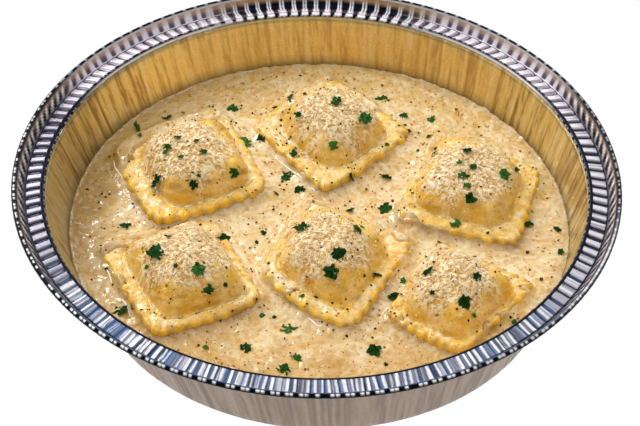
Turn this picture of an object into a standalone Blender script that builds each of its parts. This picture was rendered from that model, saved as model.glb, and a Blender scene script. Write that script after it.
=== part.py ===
"""Six square ravioli in cream sauce, in a round foil pan with a ribbed rim.

Lengths are in metres. The origin is the middle of the pan's underside, +Z is up and -Y is the front.
Each surface of turned or square form is a stack of rings of points, joined one to the next.
"""

import math

import bmesh
import bpy

# Foil pan: radii from its axis, heights from the table
RIM_RADIUS = 0.115
RIM_TOP = 0.047
WALL = 0.0006
BASE_RADIUS = 0.0855
CORNER_RISE = 0.0045
WALL_FOOT_RADIUS = 0.0909
LIP_RADIUS = 0.1034
LIP_HEIGHT = 0.0429
CREST_RADIUS = 0.1043
CREST_TOP = 0.0436
GROOVE_RADIUS = 0.11015
GROOVE_TOP = 0.0423
CURL_DIAMETER = 0.0021
RIB_COUNT = 140
RIB_DEPTH = 0.0008
CURL_RIB_DEPTH = 0.0002
WALL_COLUMNS = 56
RIM_COLUMNS = 2 * RIB_COUNT

# Cream sauce
GAP = 0.0003
SAUCE_TOP = 0.022
POCKET_TOP = 0.040

# Ravioli: the pillow is the filled middle, the border is the sealed edge round it
SCALLOPS = 8
SCALLOP_DEPTH = 0.022
CORNER_CUT = 0.035
BORDER_THICKNESS = 0.0042
BORDER_LEAN = 0.035
SEAM_DIP = 0.0006
PILLOW_HALF = 0.745
UNDERSIDE_DEPTH = 0.0045
POCKET_GROWTH = 1.035
# The pillow's rise, as (share of its half width, share of its height)
PILLOW_STEPS = ((0.88, 0.55), (0.64, 0.87), (0.34, 0.98))

# Each ravioli has four corners, in order round it, as (x, y, height of the border's top), and a pillow height
RAVIOLI = (
    dict(
        corners=(
            (-0.062, -0.0085, 0.0262),
            (-0.018, 0.013, 0.0258),
            (-0.0375, 0.062, 0.0248),
            (-0.082, 0.0375, 0.025),
        ),
        pillow=0.0112,
    ),
    dict(
        corners=(
            (0.003, 0.0115, 0.026),
            (0.039, 0.051, 0.0254),
            (0.004, 0.087, 0.025),
            (-0.0265, 0.052, 0.0256),
        ),
        pillow=0.0116,
    ),
    dict(
        corners=(
            (0.029, -0.0015, 0.026),
            (0.077, -0.0155, 0.0258),
            (0.09, 0.0285, 0.0254),
            (0.048, 0.0545, 0.0252),
        ),
        pillow=0.0108,
    ),
    dict(
        corners=(
            (-0.0585, -0.0675, 0.0262),
            (-0.0172, -0.0475, 0.0262),
            (-0.039, -0.0035, 0.0252),
            (-0.083, -0.0195, 0.0248),
        ),
        pillow=0.0118,
    ),
    dict(
        corners=(
            (0.014, -0.0625, 0.026),
            (0.039, -0.014, 0.0254),
            (-0.004, 0.0105, 0.025),
            (-0.0215, -0.0315, 0.0258),
        ),
        pillow=0.0118,
    ),
    dict(
        corners=(
            (0.053, -0.0735, 0.0258),
            (0.084, -0.036, 0.0252),
            (0.046, -0.0128, 0.0252),
            (0.025, -0.054, 0.026),
        ),
        pillow=0.0112,
    ),
)


def clear_scene():
    for thing in list(bpy.data.objects):
        bpy.data.objects.remove(thing, do_unlink=True)


def make_material(name, colour, roughness, metallic=0.0):
    """A Principled material with one linear colour."""
    material = bpy.data.materials.new(name)
    material.use_nodes = True
    shader = material.node_tree.nodes["Principled BSDF"]
    shader.inputs["Base Color"].default_value = (*colour, 1.0)
    shader.inputs["Roughness"].default_value = roughness
    shader.inputs["Metallic"].default_value = metallic
    return material


def round_ring(columns, radius, height, rib=(0.0, 0.0)):
    """Points round the axis. Every second one moves by rib, outward and up, which makes the ribs."""
    points = []
    for column in range(columns):
        angle = 2 * math.pi * column / columns
        share = column % 2
        reach = radius + share * rib[0]
        points.append((reach * math.cos(angle), reach * math.sin(angle), height + share * rib[1]))
    return points


def join_rings(mesh, first, second):
    """Faces between two rings of vertices. Where one has more, its spare vertices fan from the other's."""
    coarse, fine = sorted((first, second), key=len)
    count = len(coarse)
    step = len(fine) // count
    half = step // 2
    for i in range(count):
        here = coarse[i]
        after = coarse[(i + 1) % count]
        if step == 1:
            mesh.faces.new((here, after, fine[(i + 1) % count], fine[i]))
            continue
        row = [fine[(i * step + k) % len(fine)] for k in range(step + 1)]
        for k in range(step):
            mesh.faces.new((here if k < half else after, row[k + 1], row[k]))
        mesh.faces.new((here, after, row[half]))


def close_ring(mesh, ring, middle):
    """A fan from a middle point to a ring."""
    for i, vertex in enumerate(ring):
        mesh.faces.new((middle, vertex, ring[(i + 1) % len(ring)]))


def solid_from_rings(name, first_middle, rings, last_middle, material):
    """A closed solid through a stack of rings, each end closed to a middle point."""
    mesh = bmesh.new()
    rows = [[mesh.verts.new(point) for point in ring] for ring in rings]
    close_ring(mesh, rows[0], mesh.verts.new(first_middle))
    for lower, upper in zip(rows, rows[1:]):
        join_rings(mesh, lower, upper)
    close_ring(mesh, rows[-1], mesh.verts.new(last_middle))
    bmesh.ops.recalc_face_normals(mesh, faces=mesh.faces)
    data = bpy.data.meshes.new(name)
    mesh.to_mesh(data)
    mesh.free()
    data.shade_smooth()
    data.set_sharp_from_angle(angle=math.radians(35))
    data.materials.append(material)
    solid = bpy.data.objects.new(name, data)
    bpy.context.scene.collection.objects.link(solid)
    return solid


def wall_radius(height, inset=0.0):
    """Radius of the pan's straight wall at a height, on its outer side or inset from it."""
    slope = (LIP_RADIUS - WALL_FOOT_RADIUS) / (LIP_HEIGHT - CORNER_RISE)
    return WALL_FOOT_RADIUS - inset + (height - CORNER_RISE) * slope


def corner_rings(inset):
    """The pan's rounded bottom corner, on its outer side or inset from it, from the flat up to the wall."""
    rounding = (WALL_FOOT_RADIUS - BASE_RADIUS) * 0.66
    return [
        round_ring(WALL_COLUMNS, BASE_RADIUS - inset * 0.5, inset),
        round_ring(WALL_COLUMNS, BASE_RADIUS + rounding - inset * 0.8, CORNER_RISE * 0.34 + inset * 0.7),
        round_ring(WALL_COLUMNS, WALL_FOOT_RADIUS - inset, CORNER_RISE),
    ]


def make_pan(material):
    """The pan: a flat base, a leaning wall, a ribbed rim that falls to a groove, and a rolled edge."""
    ribs = (0.0, -RIB_DEPTH)
    dents = (0.0, -CURL_RIB_DEPTH)
    notches = (-CURL_RIB_DEPTH, 0.0)
    curl_radius = CURL_DIAMETER / 2
    curl_middle = RIM_RADIUS - curl_radius
    rim = [
        round_ring(RIM_COLUMNS, CREST_RADIUS, CREST_TOP - WALL, ribs),
        round_ring(RIM_COLUMNS, GROOVE_RADIUS + WALL * 0.4, GROOVE_TOP - WALL, dents),
        round_ring(RIM_COLUMNS, curl_middle, RIM_TOP - CURL_DIAMETER, notches),
        round_ring(RIM_COLUMNS, RIM_RADIUS, RIM_TOP - curl_radius, notches),
        round_ring(RIM_COLUMNS, curl_middle, RIM_TOP, dents),
        round_ring(RIM_COLUMNS, GROOVE_RADIUS, GROOVE_TOP, dents),
        round_ring(RIM_COLUMNS, CREST_RADIUS, CREST_TOP, ribs),
    ]
    outer_top = LIP_HEIGHT - WALL
    outer = corner_rings(0.0) + [round_ring(WALL_COLUMNS, wall_radius(outer_top), outer_top)]
    inner = corner_rings(WALL) + [round_ring(WALL_COLUMNS, wall_radius(LIP_HEIGHT, WALL), LIP_HEIGHT)]
    rings = outer + rim + inner[::-1]
    return solid_from_rings("foil_pan", (0.0, 0.0, 0.0), rings, (0.0, 0.0, WALL), material)


def on_square(corners, s, t, height):
    """A point over a four-cornered patch: s and t run from -1 to 1 across it, height is above the border."""
    weights = ((1 - s) * (1 - t), (1 + s) * (1 - t), (1 + s) * (1 + t), (1 - s) * (1 + t))
    x, y, z = (sum(w * corner[axis] for w, corner in zip(weights, corners)) / 4 for axis in range(3))
    return x, y, z + height


def square_ring(corners, columns, half, height, scallop=0.0):
    """Points round a square patch, half a width out from its middle, with softened corners and scallops."""
    points = []
    per_side = columns // 4
    for column in range(columns):
        side, place = divmod(column, per_side)
        along = 2 * place / per_side - 1
        out = half * (1 + scallop * (column % 2))
        softened = half * (1 - CORNER_CUT * abs(along) ** 8)
        s, t = along * softened, -out * (1 - CORNER_CUT * abs(along) ** 8)
        for _ in range(side):
            s, t = -t, s
        points.append(on_square(corners, s, t, height))
    return points


def make_ravioli(name, corners, pillow, material):
    """One ravioli: a scalloped border of two pressed sheets round a filled pillow, and a shallow underside."""
    fine = 8 * SCALLOPS
    bottom = -BORDER_THICKNESS
    rings = [
        square_ring(corners, fine // 4, PILLOW_HALF, bottom - UNDERSIDE_DEPTH * 0.5),
        square_ring(corners, fine, 1.0 - SCALLOP_DEPTH, bottom, SCALLOP_DEPTH),
        square_ring(corners, fine, 1.0 - SCALLOP_DEPTH - BORDER_LEAN, 0.0, SCALLOP_DEPTH),
        square_ring(corners, fine // 2, PILLOW_HALF, -SEAM_DIP),
    ]
    for (share, rise), columns in zip(PILLOW_STEPS, (fine // 2, fine // 2, fine // 4)):
        rings.append(square_ring(corners, columns, PILLOW_HALF * share, pillow * rise))
    lowest = on_square(corners, 0, 0, bottom - UNDERSIDE_DEPTH)
    highest = on_square(corners, 0, 0, pillow)
    return solid_from_rings(name, lowest, rings, highest, material)


def make_pocket(name, corners, material):
    """The cutter for the hollow that a ravioli lies in: its outline and underside, a little larger."""
    bottom = -BORDER_THICKNESS - GAP
    columns = 4 * SCALLOPS
    rise = POCKET_TOP - SAUCE_TOP
    rings = [
        square_ring(corners, columns // 2, PILLOW_HALF, bottom - UNDERSIDE_DEPTH * 0.5),
        square_ring(corners, columns, POCKET_GROWTH, bottom),
        square_ring(corners, columns, POCKET_GROWTH, rise),
    ]
    lowest = on_square(corners, 0, 0, bottom - UNDERSIDE_DEPTH)
    highest = on_square(corners, 0, 0, rise)
    pocket = solid_from_rings(name, lowest, rings, highest, material)
    pocket.hide_render = True
    pocket.display_type = "WIRE"
    return pocket


def make_sauce(material, pockets):
    """The sauce: it fills the pan up to its level, with a pocket for each ravioli."""
    inset = WALL + GAP
    rings = corner_rings(inset) + [round_ring(WALL_COLUMNS, wall_radius(SAUCE_TOP, inset), SAUCE_TOP)]
    sauce = solid_from_rings("cream_sauce", (0.0, 0.0, inset), rings, (0.0, 0.0, SAUCE_TOP), material)
    for pocket in pockets:
        cut = sauce.modifiers.new(pocket.name, "BOOLEAN")
        cut.operation = "DIFFERENCE"
        cut.object = pocket
    return sauce


clear_scene()
foil = make_material("pressed aluminium foil", (0.80, 0.80, 0.82), 0.22, 1.0)
cream = make_material("cream sauce", (0.82, 0.62, 0.34), 0.28)
pasta = make_material("boiled egg pasta", (0.80, 0.52, 0.20), 0.40)

make_pan(foil)
pocket_cutters = []
for number, one in enumerate(RAVIOLI, start=1):
    make_ravioli(f"ravioli_{number}", one["corners"], one["pillow"], pasta)
    pocket_cutters.append(make_pocket(f"pocket_{number}", one["corners"], cream))
make_sauce(cream, pocket_cutters)
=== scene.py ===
import math
import bpy
import numpy as np
from mathutils import Matrix, Vector


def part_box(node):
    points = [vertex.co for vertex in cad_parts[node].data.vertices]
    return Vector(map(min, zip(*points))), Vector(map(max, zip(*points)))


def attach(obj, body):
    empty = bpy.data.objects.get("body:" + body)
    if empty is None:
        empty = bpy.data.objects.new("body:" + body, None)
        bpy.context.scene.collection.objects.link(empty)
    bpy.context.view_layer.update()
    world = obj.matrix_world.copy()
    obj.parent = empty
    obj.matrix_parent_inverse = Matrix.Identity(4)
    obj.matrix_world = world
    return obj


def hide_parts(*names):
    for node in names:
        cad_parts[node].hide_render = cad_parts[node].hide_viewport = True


# Six ravioli in cream sauce, in a round foil pan, under grated cheese, parsley flakes and pepper.
# Everything is in metres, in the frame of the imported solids: +Z is up and -Y is the front.
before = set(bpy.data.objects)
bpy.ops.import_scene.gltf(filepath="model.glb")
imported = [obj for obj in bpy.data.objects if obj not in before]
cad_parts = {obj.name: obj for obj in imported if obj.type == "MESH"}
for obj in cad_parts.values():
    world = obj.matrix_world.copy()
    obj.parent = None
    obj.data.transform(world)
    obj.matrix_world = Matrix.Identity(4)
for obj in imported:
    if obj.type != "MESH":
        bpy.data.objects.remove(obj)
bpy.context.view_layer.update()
mm = 0.001
print("frame loaded:", sorted(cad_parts))


# ---- numbers and noise ----

# An sRGB hex colour as linear red, green and blue: each channel c is (c + 0.055) / 1.055 to the power 2.4.
def linearColour(hexColour):
    channels = [int(hexColour[i:i + 2], 16) / 255 for i in (1, 3, 5)]
    return np.array([c / 12.92 if c <= 0.04045 else ((c + 0.055) / 1.055) ** 2.4 for c in channels])


# A smooth step from 0 at low to 1 at high.
def smoothStep(low, high, value):
    x = np.clip((value - low) / (high - low), 0, 1)
    return x * x * (3 - 2 * x)


# Value noise from -1 to 1: random numbers on a lattice of the given size, blended smoothly between its points.
def softNoise(x, y, size, seed):
    gridX, gridY = x / size + 4096.5, y / size + 4096.5
    cellX, cellY = np.floor(gridX).astype(np.int64), np.floor(gridY).astype(np.int64)
    partX, partY = gridX - cellX, gridY - cellY
    partX, partY = partX * partX * (3 - 2 * partX), partY * partY * (3 - 2 * partY)

    def lattice(stepX, stepY):
        mixed = ((cellX + stepX) * 374761393 + (cellY + stepY) * 668265263 + seed * 974711) & 0xFFFFFFFF
        mixed = ((mixed ^ (mixed >> 13)) * 1274126177) & 0xFFFFFFFF
        return ((mixed ^ (mixed >> 16)) & 0xFFFF) / 32767.5 - 1

    front = lattice(0, 0) * (1 - partX) + lattice(1, 0) * partX
    back = lattice(0, 1) * (1 - partX) + lattice(1, 1) * partX
    return front * (1 - partY) + back * partY


# Three layers of noise, each half the size and half the strength of the one before.
def layeredNoise(x, y, size, seed):
    return sum(softNoise(x, y, size / 2 ** k, seed + k) / 2 ** k for k in range(3)) / 1.75


# Colours blended from first to second by a share of 0 to 1, as whole arrays.
def blendColour(first, second, share):
    share = np.asarray(share)[..., None]
    return first * (1 - share) + second * share


# ---- meshes from arrays ----

# One mesh object from points (n x 3) and lists of faces (m x 3 or m x 4), with an optional colour for each point.
def makePiece(name, points, faceSets, materials, tone=None, materialIndex=None, smooth=True):
    mesh = bpy.data.meshes.new(name)
    points = np.asarray(points, np.float32).reshape(-1, 3)
    corners = np.concatenate([np.asarray(f).ravel() for f in faceSets]).astype(np.int32)
    totals = np.concatenate([np.full(len(f), np.asarray(f).shape[1]) for f in faceSets]).astype(np.int32)
    starts = np.concatenate([[0], np.cumsum(totals)[:-1]]).astype(np.int32)
    mesh.vertices.add(len(points))
    mesh.vertices.foreach_set("co", points.ravel())
    mesh.loops.add(len(corners))
    mesh.loops.foreach_set("vertex_index", corners)
    mesh.polygons.add(len(totals))
    mesh.polygons.foreach_set("loop_start", starts)
    mesh.polygons.foreach_set("use_smooth", np.full(len(totals), smooth))
    if materialIndex is not None:
        mesh.polygons.foreach_set("material_index", np.asarray(materialIndex, np.int32))
    mesh.update(calc_edges=True)
    mesh.validate()
    for material in materials:
        mesh.materials.append(material)
    if tone is not None:
        rgba = np.ones((len(points), 4), np.float32)
        rgba[:, :3] = np.asarray(tone).reshape(-1, 3)
        layer = mesh.color_attributes.new(name="tone", type="FLOAT_COLOR", domain="POINT")
        layer.data.foreach_set("color", rgba.ravel())
    piece = bpy.data.objects.new(name, mesh)
    bpy.context.scene.collection.objects.link(piece)
    print("made", name, "-", len(points), "points")
    return piece


# Faces between rows of points whose columns close into a ring, with a point before the first row and after the last.
def closedRings(rows, columns):
    i, j = np.meshgrid(np.arange(rows - 1), np.arange(columns), indexing="ij")
    k = (j + 1) % columns
    quads = 1 + np.stack([i * columns + j, (i + 1) * columns + j, (i + 1) * columns + k, i * columns + k], -1)
    column = np.arange(columns)
    after = (column + 1) % columns
    first = np.stack([np.zeros(columns, int), 1 + column, 1 + after], -1)
    base = 1 + (rows - 1) * columns
    last = np.stack([base + after, base + column, np.full(columns, base + columns)], -1)
    return [quads.reshape(-1, 4), first, last]


# Many copies of one small shape: local points (count x n x 3) in each copy's own axes (count x 3 x 3) at its centre.
def placeCopies(local, axes, centres):
    return np.einsum("cnk,ckx->cnx", local, axes) + centres[:, None, :]


def repeatFaces(faces, count, pointsEach):
    return (np.asarray(faces)[None] + np.arange(count)[:, None, None] * pointsEach).reshape(-1, np.asarray(faces).shape[1])


# Axes that stand on a surface: the third is its normal, tilted a little, and the first turns by an angle about it.
def standingAxes(normals, turns, tilt, rng):
    up = normals + rng.normal(0, tilt, normals.shape)
    up /= np.linalg.norm(up, axis=1)[:, None]
    first = np.stack([np.cos(turns), np.sin(turns), np.zeros(len(turns))], -1)
    first -= up * np.sum(first * up, axis=1)[:, None]
    first /= np.linalg.norm(first, axis=1)[:, None]
    return np.stack([first, np.cross(up, first), up], 1)


# ---- materials ----

def addNode(tree, kind, settings=None, links=None):
    node = tree.nodes.new(kind)
    for key, value in (settings or {}).items():
        if isinstance(key, str) and hasattr(node, key):
            setattr(node, key, value)
        else:
            node.inputs[key].default_value = value
    for socket, source in (links or {}).items():
        tree.links.new(source, node.inputs[socket])
    return node


# A Principled material whose numbers sit on the shader's own sockets.
def startMaterial(name, settings):
    material = bpy.data.materials.new(name)
    material.use_nodes = True
    tree = material.node_tree
    shader = tree.nodes["Principled BSDF"]
    for socket, value in settings.items():
        shader.inputs[socket].default_value = value
    return material, tree, shader


# The piece's own painted colour. grains are (size, strength) and lighten or darken it; flecks are (size, threshold,
# colour) and show where a noise passes the threshold; bumps are (size, height).
def paintedMaterial(name, settings, grains=(), flecks=(), bumps=()):
    material, tree, shader = startMaterial(name, settings)
    place = addNode(tree, "ShaderNodeTexCoord").outputs["Object"]

    def noise(size, detail=3.0):
        return addNode(tree, "ShaderNodeTexNoise", {"Scale": 1 / size, "Detail": detail}, {"Vector": place}).outputs["Fac"]

    colour = addNode(tree, "ShaderNodeAttribute", {"attribute_name": "tone"}).outputs["Color"]
    for size, strength in grains:
        light = addNode(tree, "ShaderNodeMapRange", {"From Min": 0.3, "From Max": 0.7, "To Min": 1 - strength,
                                                     "To Max": 1 + strength}, {"Value": noise(size)})
        colour = addNode(tree, "ShaderNodeVectorMath", {"operation": "SCALE"},
                         {0: colour, "Scale": light.outputs["Result"]}).outputs["Vector"]
    for size, threshold, fleckColour in flecks:
        shown = addNode(tree, "ShaderNodeMapRange", {"From Min": threshold, "From Max": threshold + 0.04}, {"Value": noise(size, 1.5)})
        colour = addNode(tree, "ShaderNodeMix", {"data_type": "RGBA", 7: (*linearColour(fleckColour), 1)},
                         {0: shown.outputs["Result"], 6: colour}).outputs[2]
    tree.links.new(colour, shader.inputs["Base Color"])
    normal = None
    for size, height in bumps:
        bump = addNode(tree, "ShaderNodeBump", {"Strength": 1.0, "Distance": height}, {"Height": noise(size, 2.0)})
        if normal is not None:
            tree.links.new(normal, bump.inputs["Normal"])
        normal = bump.outputs["Normal"]
    if normal is not None:
        tree.links.new(normal, shader.inputs["Normal"])
    return material


# Pressed aluminium foil, finely rubbed, so it scatters much of the light; the rim's light and dark streaks are painted
# reflections in its colour.
foilRimMaterial = paintedMaterial("pressed foil, finely rubbed", {"Metallic": 0.4, "Roughness": 0.3, "Specular IOR Level": 0.08}, [(0.9 * mm, 0.10)], [], [(1.2 * mm, 0.02 * mm)])
# The wall's inside: drawn foil whose golden colour is a painted reflection of the sauce and pasta.
foilInsideMaterial = paintedMaterial("drawn foil with a painted golden reflection", {"Metallic": 0.6, "Roughness": 0.34}, [(0.5 * mm, 0.14)], [], [(0.8 * mm, 0.04 * mm)])
# The wall's outside: the foil's matt side, which scatters more.
foilOutsideMaterial = paintedMaterial("drawn foil, matt side", {"Metallic": 0.9, "Roughness": 0.42}, [(0.8 * mm, 0.10)], [], [(1.0 * mm, 0.02 * mm)])
# Boiled egg pasta over the filling: light sinks in a little, and its thin coat is nearly dry.
pastaMaterial = paintedMaterial("boiled egg pasta, drained", {
    "Roughness": 0.42, "Specular IOR Level": 0.4, "Subsurface Weight": 0.25, "Subsurface Scale": 1.6 * mm,
    "Subsurface Radius": (1.0, 0.55, 0.25), "Coat Weight": 0.3, "Coat Roughness": 0.14},
    [(0.9 * mm, 0.10), (3.0 * mm, 0.06)], [(1.1 * mm, 0.68, "#a9762f")], [(1.8 * mm, 0.18 * mm), (0.6 * mm, 0.04 * mm)])
# The border lies in the sauce, so it is wetter: its coat is full and sharp.
borderMaterial = paintedMaterial("boiled egg pasta, wet with sauce", {
    "Roughness": 0.42, "Specular IOR Level": 0.4, "Subsurface Weight": 0.25, "Subsurface Scale": 1.6 * mm,
    "Subsurface Radius": (1.0, 0.55, 0.25), "Coat Weight": 0.6, "Coat Roughness": 0.10},
    [(0.9 * mm, 0.12), (2.2 * mm, 0.10)], [(1.1 * mm, 0.68, "#a9762f")], [(1.8 * mm, 0.26 * mm), (0.8 * mm, 0.10 * mm)])
# Cream sauce: thick, pale and wet, with small curds and specks of spice stirred in.
creamMaterial = paintedMaterial("cooked cream sauce", {
    "Roughness": 0.5, "Specular IOR Level": 0.3, "Subsurface Weight": 0.25, "Subsurface Scale": 1.6 * mm,
    "Subsurface Radius": (1.0, 0.7, 0.4), "Coat Weight": 0.9, "Coat Roughness": 0.06},
    [(1.2 * mm, 0.09), (0.5 * mm, 0.05)], [(1.4 * mm, 0.665, "#9c7438"), (0.8 * mm, 0.73, "#5d4526")],
    [(2.2 * mm, 0.12 * mm), (0.7 * mm, 0.03 * mm)])
# Beads of thin sauce along the seams, painted near white as a highlight on top of the light their coat catches.
beadMaterial = paintedMaterial("thin wet sauce", {
    "Roughness": 0.15, "Specular IOR Level": 0.6, "Coat Weight": 0.8, "Coat Roughness": 0.05}, [(1.2 * mm, 0.04)])
# Hard cheese, finely grated: dry and pale.
cheeseMaterial = paintedMaterial("finely grated hard cheese", {
    "Roughness": 0.6, "Subsurface Weight": 0.25, "Subsurface Scale": 0.6 * mm, "Subsurface Radius": (1.0, 0.7, 0.45)},
    [(0.6 * mm, 0.06)])
# Dried flat-leaf parsley, softened by the sauce.
parsleyMaterial = paintedMaterial("chopped parsley leaf", {"Roughness": 0.8, "Specular IOR Level": 0.08}, [(0.7 * mm, 0.3)], [], [(0.6 * mm, 0.08 * mm)])
# Cracked black pepper.
pepperMaterial = paintedMaterial("cracked black pepper", {"Roughness": 0.9, "Specular IOR Level": 0.1}, [(0.3 * mm, 0.2)])


# ---- the foil pan ----

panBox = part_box("foil_pan")
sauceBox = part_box("cream_sauce")
rimRadius = panBox[1].x
rimTop = panBox[1].z
sauceLevel = sauceBox[1].z

foilPan = {
    "columns": 1400,
    "foilThickness": 0.25 * mm,
    "lipInset": 12.3 * mm, "lipDrop": 4.25 * mm,      # the wall's top, from the rim's outermost and topmost
    "wallFootRadius": 90.3 * mm, "baseRadius": 84.8 * mm, "cornerRise": 4.5 * mm,
    "wallLean": 1.2 * mm,                             # how far the wall stands off centre at the sauce's level
    "fluteDepth": 0.20 * mm,
}
panRim = {
    "ribs": 140, "samplesPerRib": 15,
    "ribDepth": 0.7 * mm,
    # the profile in millimetres from the rim's outermost and topmost: inset and drop
    "lip": ((12.3, 4.3), (12.1, 4.05), (11.75, 3.7), (11.45, 3.5), (11.05, 3.42), (10.7, 3.4)),
    "ribStart": (10.55, 3.4), "ribEnd": (5.3, 4.4),
    "groove": ((5.05, 4.65), (4.8, 4.7), (4.55, 4.5)),
    "bandStart": (4.25, 4.1), "bandEnd": (2.25, 1.25),
    "curlRadius": 1.05,
    "under": ((2.4, 2.2), (4.7, 5.4), (10.7, 4.75), (11.9, 5.2)),
}

lipRadius = rimRadius - foilPan["lipInset"]
lipTop = rimTop - foilPan["lipDrop"]


# The middle of the wall's ring at a height: it drifts to the right as it goes down, in proportion to the depth.
def wallDrift(height):
    return foilPan["wallLean"] * np.clip((lipTop - height) / (lipTop - sauceLevel), 0, None)


# Radius of the wall's inner side: a straight line from its foot to the lip.
def innerWallRadius(height):
    share = (height - foilPan["cornerRise"]) / (lipTop - foilPan["cornerRise"])
    return foilPan["wallFootRadius"] + (lipRadius - foilPan["wallFootRadius"]) * share


# Points round the rim's circle: noise read there runs on without a seam.
def roundPlace(angle, reach=0.0):
    return np.cos(angle) * (rimRadius + reach), np.sin(angle) * (rimRadius + reach)


# Flutes of the wall: soft upright folds, uneven in pitch and depth.
def fluteOffset(angle):
    place = roundPlace(angle)
    return foilPan["fluteDepth"] * (softNoise(*place, 2.6 * mm, 13) + 0.6 * softNoise(*place, 1.2 * mm, 14))


# How far round to the front or the back an angle is, from 0 to 1.
def frontShare(angle):
    return smoothStep(0.30, 0.85, -np.sin(angle))


def backShare(angle):
    return smoothStep(0.72, 0.99, np.sin(angle))


def makePanFoil():
    pan = foilPan
    columns = pan["columns"]
    angle = (2 * math.pi * np.arange(columns) / columns)[None, :]
    thick = pan["foilThickness"]
    foot, rise, base = pan["wallFootRadius"], pan["cornerRise"], pan["baseRadius"]
    # The profile runs from the inside's middle, up the wall, over its edge and down the outside.
    # Each station is (radius, height, how fluted, whether outside).
    stations = [(base * share, thick * 1.2, 0, 0) for share in (0.2, 0.5, 0.8, 1.0)]
    for turn in np.radians((30, 60)):
        stations.append((base + (foot - base) * math.sin(turn), thick + rise * (1 - math.cos(turn)), 0.3, 0))
    for height in np.linspace(rise + thick, lipTop - 0.3 * mm, 18):
        stations.append((innerWallRadius(height), height, 1, 0))
    for height in np.linspace(lipTop - 0.4 * mm, rise, 12):
        stations.append((innerWallRadius(height) + thick, height, 1, 1))
    for turn in np.radians((60, 30)):
        stations.append((base + (foot - base + thick) * math.sin(turn), rise * (1 - math.cos(turn)), 0.3, 1))
    stations += [(base, 0, 0, 1), (base * 0.5, 0, 0, 1)]
    radius, height, fluted, outside = (np.array(v)[:, None] for v in zip(*stations))
    r = radius + fluted * fluteOffset(angle)
    x, y = wallDrift(height) + r * np.cos(angle), r * np.sin(angle)
    z = height + 0 * x

    # streaks left by the drawing, their dark and pale gold painted as reflections: noise round the wall that changes
    # slowly with the height
    gold, deepGold, paleGold = linearColour("#fcdd8a"), linearColour("#b18b4b"), linearColour("#fff6cf")
    sweep = roundPlace(angle, 0.07 * height + 0.5 * mm * softNoise(*roundPlace(angle, 0.5 * height), 3 * mm, 33))
    crinkle = roundPlace(angle, 0.28 * height + 0.8 * mm * softNoise(*roundPlace(angle, 0.5 * height), 2 * mm, 38))
    streaks = 0.6 * softNoise(*sweep, 1.3 * mm, 31) + 0.4 * softNoise(*crinkle, 0.7 * mm, 34) + 0.35 * softNoise(*sweep, 2.8 * mm, 35)
    inside = blendColour(deepGold, gold, smoothStep(-0.75, 0.15, streaks))
    inside = blendColour(inside, paleGold, smoothStep(0.25, 0.8, streaks) * 0.8)
    # painted light and shade: paler gold at the back and lighter still at the back-left, darker at the left and right,
    # darker down towards the sauce, and darker and browner at the lip's top edge; just above the sauce it turns a
    # greyer brown
    inside = blendColour(inside, linearColour("#eec97a"), 0.5 * smoothStep(0.5, 0.95, np.sin(angle)))
    shade = 1 - 0.43 * smoothStep(0.6, 0.98, -np.cos(angle)) - 0.31 * smoothStep(0.6, 0.98, np.cos(angle)) - 0.06 * smoothStep(0.5, 0.95, np.sin(angle))
    shade = shade * (1 - 0.45 * smoothStep(sauceLevel + 5 * mm, sauceLevel, height)) * (1 - 0.1 * smoothStep(lipTop, sauceLevel, height))
    shade = shade * (1 - 0.66 * smoothStep(lipTop - 0.9 * mm, lipTop - 0.5 * mm, height))
    shade = shade * (1 + 0.30 * np.exp(-((angle - 2.45) / 0.35) ** 2))
    inside = inside * shade[..., None]
    inside = blendColour(inside, linearColour("#6e4d1c"), 0.5 * smoothStep(lipTop - 0.9 * mm, lipTop - 0.5 * mm, height))
    inside = blendColour(inside, linearColour("#6a543c"), smoothStep(sauceLevel + 3.5 * mm, sauceLevel, height) * 0.4)
    # the outer wall: taupe, with lighter and darker bands along the flutes painted as their reflections and shade
    fluteReflection = 0.8 * softNoise(*roundPlace(angle, 0.03 * height), 1.7 * mm, 36) + 0.5 * softNoise(*sweep, 0.8 * mm, 37)
    outer = blendColour(linearColour("#7d6d60"), linearColour("#a08d7d"), smoothStep(-0.8, 0.8, fluteReflection))
    tone = np.where((outside > 0)[..., None], outer, inside)

    middle = wallDrift(0.0)
    points = np.concatenate([[[middle, 0, thick * 1.2]], np.stack([x, y, z], -1).reshape(-1, 3), [[middle, 0, 0]]])
    tones = np.concatenate([tone[0, :1], tone.reshape(-1, 3), tone[-1, :1]])
    slots = np.repeat(outside[:-1, 0], columns)
    slots = np.concatenate([slots, np.full(columns, 0), np.full(columns, 1)])
    piece = makePiece("pan_foil", points, closedRings(len(stations), columns), [foilInsideMaterial, foilOutsideMaterial], tones, slots)
    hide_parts("foil_pan")
    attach(piece, "root")


makePanFoil()
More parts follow.
